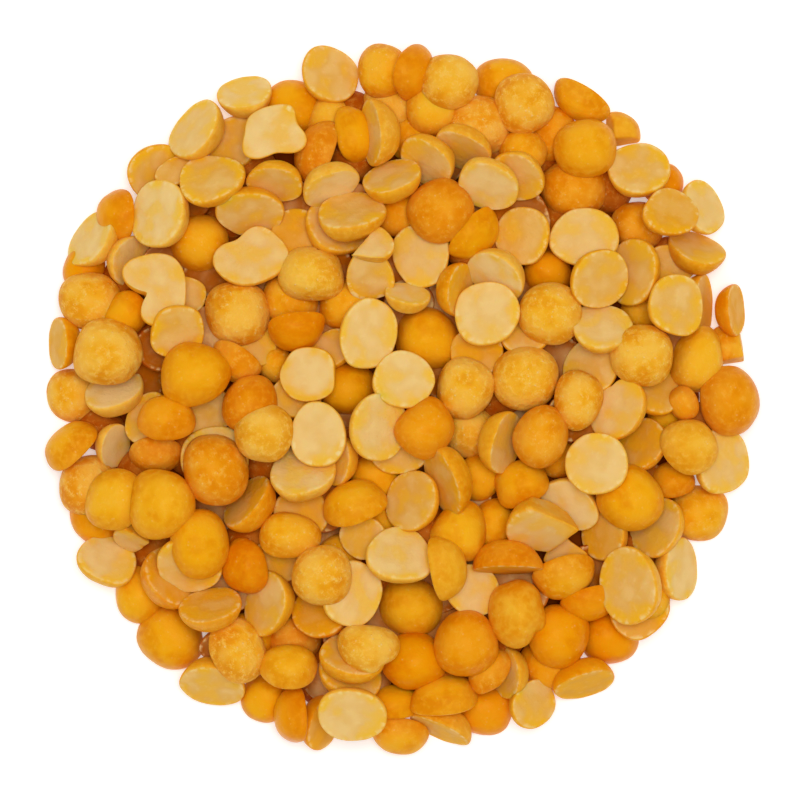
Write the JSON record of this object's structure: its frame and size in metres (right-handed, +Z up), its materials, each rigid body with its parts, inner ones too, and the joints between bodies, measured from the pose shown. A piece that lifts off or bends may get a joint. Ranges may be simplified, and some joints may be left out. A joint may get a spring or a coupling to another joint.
{
  "type": "heap of yellow split peas",
  "caption": "Low round heap of dry yellow split peas, lying loose on a flat surface, with domed and flat-faced halves showing.",
  "frame": {"origin": "middle of the heap's underside, on the surface that it lies on", "axes": "+Z up; +X to the right and +Y away from the viewer, as the picture shows the heap from straight above"},
  "size_m": [0.08, 0.0805, 0.0111],
  "materials": {
    "pea": "dry seed flesh, orange-yellow and slightly translucent, with a soft waxy sheen, paler and duller on the flat faces"
  },
  "bodies": {
    "root": {"split_peas": "pea"}
  },
  "joints": []
}
